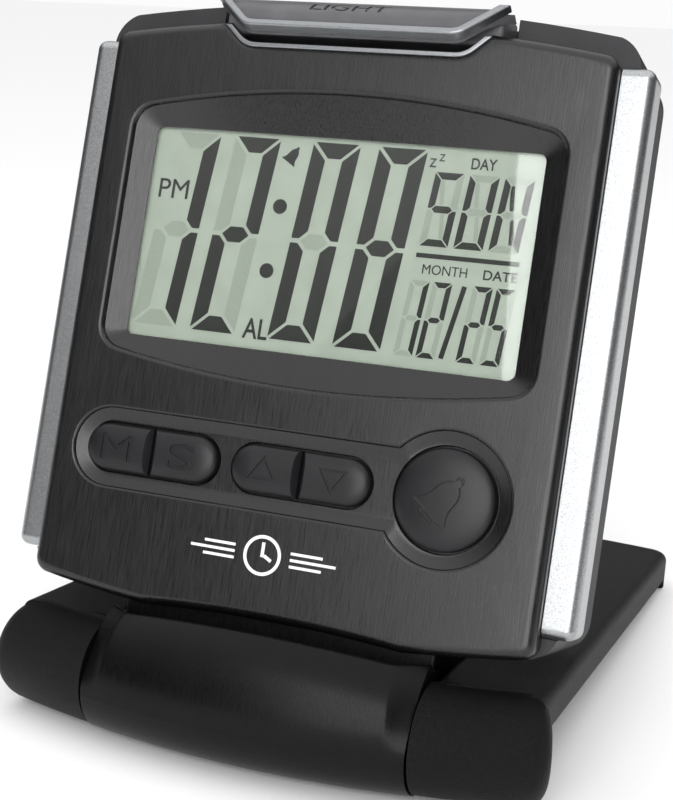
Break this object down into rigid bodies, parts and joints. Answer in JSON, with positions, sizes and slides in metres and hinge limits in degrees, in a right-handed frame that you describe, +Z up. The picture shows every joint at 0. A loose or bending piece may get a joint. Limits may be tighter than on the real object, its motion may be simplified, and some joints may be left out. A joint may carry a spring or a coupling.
{
  "type": "folding travel alarm clock",
  "caption": "Folding travel alarm clock: a thin case with a digital display, keys and a top light bar leans back on a cover that folds round behind it as a stand.",
  "frame": {"origin": "on the surface that the clock stands on, under the middle of its bounding box", "axes": "+Z up, -Y is the side that the display faces, +X to the right as seen from the front"},
  "size_m": [0.0748, 0.0984, 0.0916],
  "materials": {
    "charcoal_abs": "satin moulded ABS, charcoal",
    "dark_abs": "matt moulded ABS, near black",
    "grained_abs": "moulded ABS with a fine leather grain, black",
    "key_abs": "satin moulded ABS, charcoal",
    "silver_paint": "silver metallic lacquer on ABS",
    "bright_trim": "bright silver trim",
    "frame_abs": "grey moulded ABS",
    "clear_window": "clear acrylic",
    "lcd": "LCD glass and polarisers",
    "light_guide": "milky acrylic",
    "led": "moulded LED",
    "elastomer": "striped conductive elastomer",
    "silicone": "silicone rubber",
    "board": "green solder-masked board",
    "epoxy": "black potting epoxy",
    "steel": "plated steel",
    "black_screw": "blackened steel",
    "brass_disc": "brass sounder disc",
    "cell_wrap": "shrink-wrapped cell"
  },
  "bodies": {
    "case": {"front_panel": "charcoal_abs", "display_window": "clear_window", "lcd_glass": "lcd", "light_guide": "light_guide", "backlight_leds": "led", "contact_strip": "elastomer", "circuit_board": "board", "clock_chip": "epoxy", "quartz_crystal": "steel", "light_switch": "dark_abs", "key_mat": "silicone", "panel_trim": "bright_trim", "middle_frame": "frame_abs", "side_strip_left": "silver_paint", "side_strip_right": "silver_paint", "rear_case": "dark_abs", "sounder": "brass_disc", "upper_cell": "cell_wrap", "lower_cell": "cell_wrap", "battery_springs": "steel", "battery_contacts": "steel", "case_screws": "black_screw", "board_screws": "steel", "chin": "charcoal_abs", "hinge_pin": "steel"},
    "folding_cover": {"cover": "grained_abs"},
    "light_bar": {"light_bar": "charcoal_abs", "light_bar_rim": "bright_trim"},
    "battery_door": {"battery_door": "dark_abs"},
    "mode_key": {"mode_key": "key_abs"},
    "set_key": {"set_key": "key_abs"},
    "up_key": {"up_key": "key_abs"},
    "down_key": {"down_key": "key_abs"},
    "alarm_key": {"alarm_key": "key_abs"}
  },
  "joints": [
    {"name": "cover_hinge", "type": "hinge", "parent": "case", "child": "folding_cover", "pos_m": [0, -0.03861, 0.00699], "axis": [1, 0, 0], "range_deg": [-282.16, 0]},
    {"name": "mode_key_press", "type": "slide", "parent": "case", "child": "mode_key", "axis": [0, 0.9537, -0.3007], "range_m": [0, 0.0007], "stiffness_N_per_m": 1200, "springref_m": -0.0003},
    {"name": "set_key_press", "type": "slide", "parent": "case", "child": "set_key", "axis": [0, 0.9537, -0.3007], "range_m": [0, 0.0007], "stiffness_N_per_m": 1200, "springref_m": -0.0003},
    {"name": "up_key_press", "type": "slide", "parent": "case", "child": "up_key", "axis": [0, 0.9537, -0.3007], "range_m": [0, 0.0007], "stiffness_N_per_m": 1200, "springref_m": -0.0003},
    {"name": "down_key_press", "type": "slide", "parent": "case", "child": "down_key", "axis": [0, 0.9537, -0.3007], "range_m": [0, 0.0007], "stiffness_N_per_m": 1200, "springref_m": -0.0003},
    {"name": "alarm_key_press", "type": "slide", "parent": "case", "child": "alarm_key", "axis": [0, 0.9537, -0.3007], "range_m": [0, 0.0007], "stiffness_N_per_m": 1200, "springref_m": -0.0003},
    {"name": "light_bar_press", "type": "slide", "parent": "case", "child": "light_bar", "axis": [0, -0.3007, -0.9537], "range_m": [0, 0.0008], "stiffness_N_per_m": 1000, "springref_m": -0.0006},
    {"name": "battery_door_lift", "type": "slide", "parent": "case", "child": "battery_door", "axis": [0, 0.9537, -0.3007], "range_m": [0, 0.015]}
  ]
}
